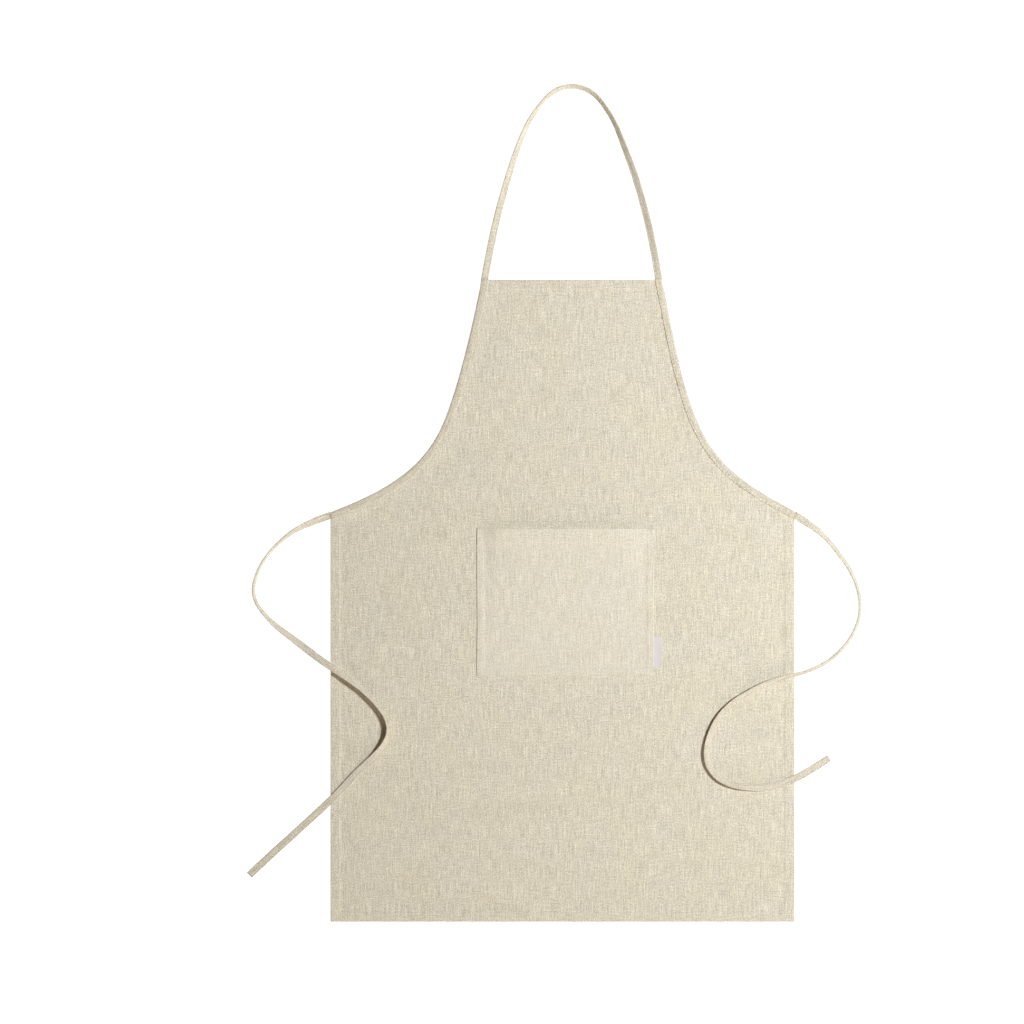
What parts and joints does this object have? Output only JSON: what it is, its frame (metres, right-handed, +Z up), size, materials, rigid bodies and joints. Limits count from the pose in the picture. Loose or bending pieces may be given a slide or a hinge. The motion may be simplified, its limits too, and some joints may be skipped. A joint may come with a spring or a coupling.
{
  "type": "bib apron",
  "caption": "Bib apron in plain hemp canvas with hemmed panel, bound armholes, neck loop, long waist ties, front patch pocket and a small side label, laid flat.",
  "frame": {"origin": "centre of the bounding box at the surface that the apron lies on, measured without the waist ties; half-way between the bottom hem and the top of the neck loop", "axes": "+Z up out of the front face, +Y along the apron from the bottom hem to the neck loop, +X across it to the side that carries the label"},
  "size_m": [0.8608, 1.1728, 0.0126],
  "materials": {
    "canvas": "plain-weave undyed hemp canvas, matt",
    "pocket_canvas": "the same canvas, cut from a slightly lighter part of the cloth, matt",
    "strap_canvas": "the same canvas folded in four and topstitched, matt",
    "thread": "spun sewing thread, slight sheen",
    "label_ribbon": "blank woven ribbon, satin"
  },
  "bodies": {
    "apron": {"body_panel": "canvas", "bib_hem": "canvas", "left_hem": "canvas", "right_hem": "canvas", "bottom_hem": "canvas", "pocket": "pocket_canvas", "left_binding": "strap_canvas", "right_binding": "strap_canvas", "bib_hem_stitching": "thread", "left_hem_stitching": "thread", "right_hem_stitching": "thread", "bottom_hem_stitching": "thread", "left_binding_stitching": "thread", "right_binding_stitching": "thread", "pocket_seam_stitching": "thread", "pocket_hem_stitching": "thread", "pocket_bar_tacks": "thread", "binding_end_tacks": "thread"},
    "neck_strap": {"neck_loop": "strap_canvas", "neck_loop_stitching": "thread"},
    "left_strap": {"left_tie": "strap_canvas", "left_tie_stitching": "thread"},
    "right_strap": {"right_tie": "strap_canvas", "right_tie_stitching": "thread"},
    "label": {"side_label": "label_ribbon"}
  },
  "joints": [
    {"name": "neck_loop_fold", "type": "hinge", "parent": "apron", "child": "neck_strap", "pos_m": [0, 0.3133, 0.0042], "axis": [1, 0, 0], "range_deg": [0, 165]},
    {"name": "left_tie_lift", "type": "hinge", "parent": "apron", "child": "left_strap", "pos_m": [-0.3272, -0.0142, 0.0024], "axis": [-1, 0, 0], "range_deg": [0, 160]},
    {"name": "right_tie_lift", "type": "hinge", "parent": "apron", "child": "right_strap", "pos_m": [0.3279, -0.0136, 0.0024], "axis": [-1, 0, 0], "range_deg": [0, 160]},
    {"name": "label_fold", "type": "hinge", "parent": "apron", "child": "label", "pos_m": [0.12755, -0.2083, 0.0027], "axis": [0, -1, 0], "range_deg": [0, 170]}
  ]
}
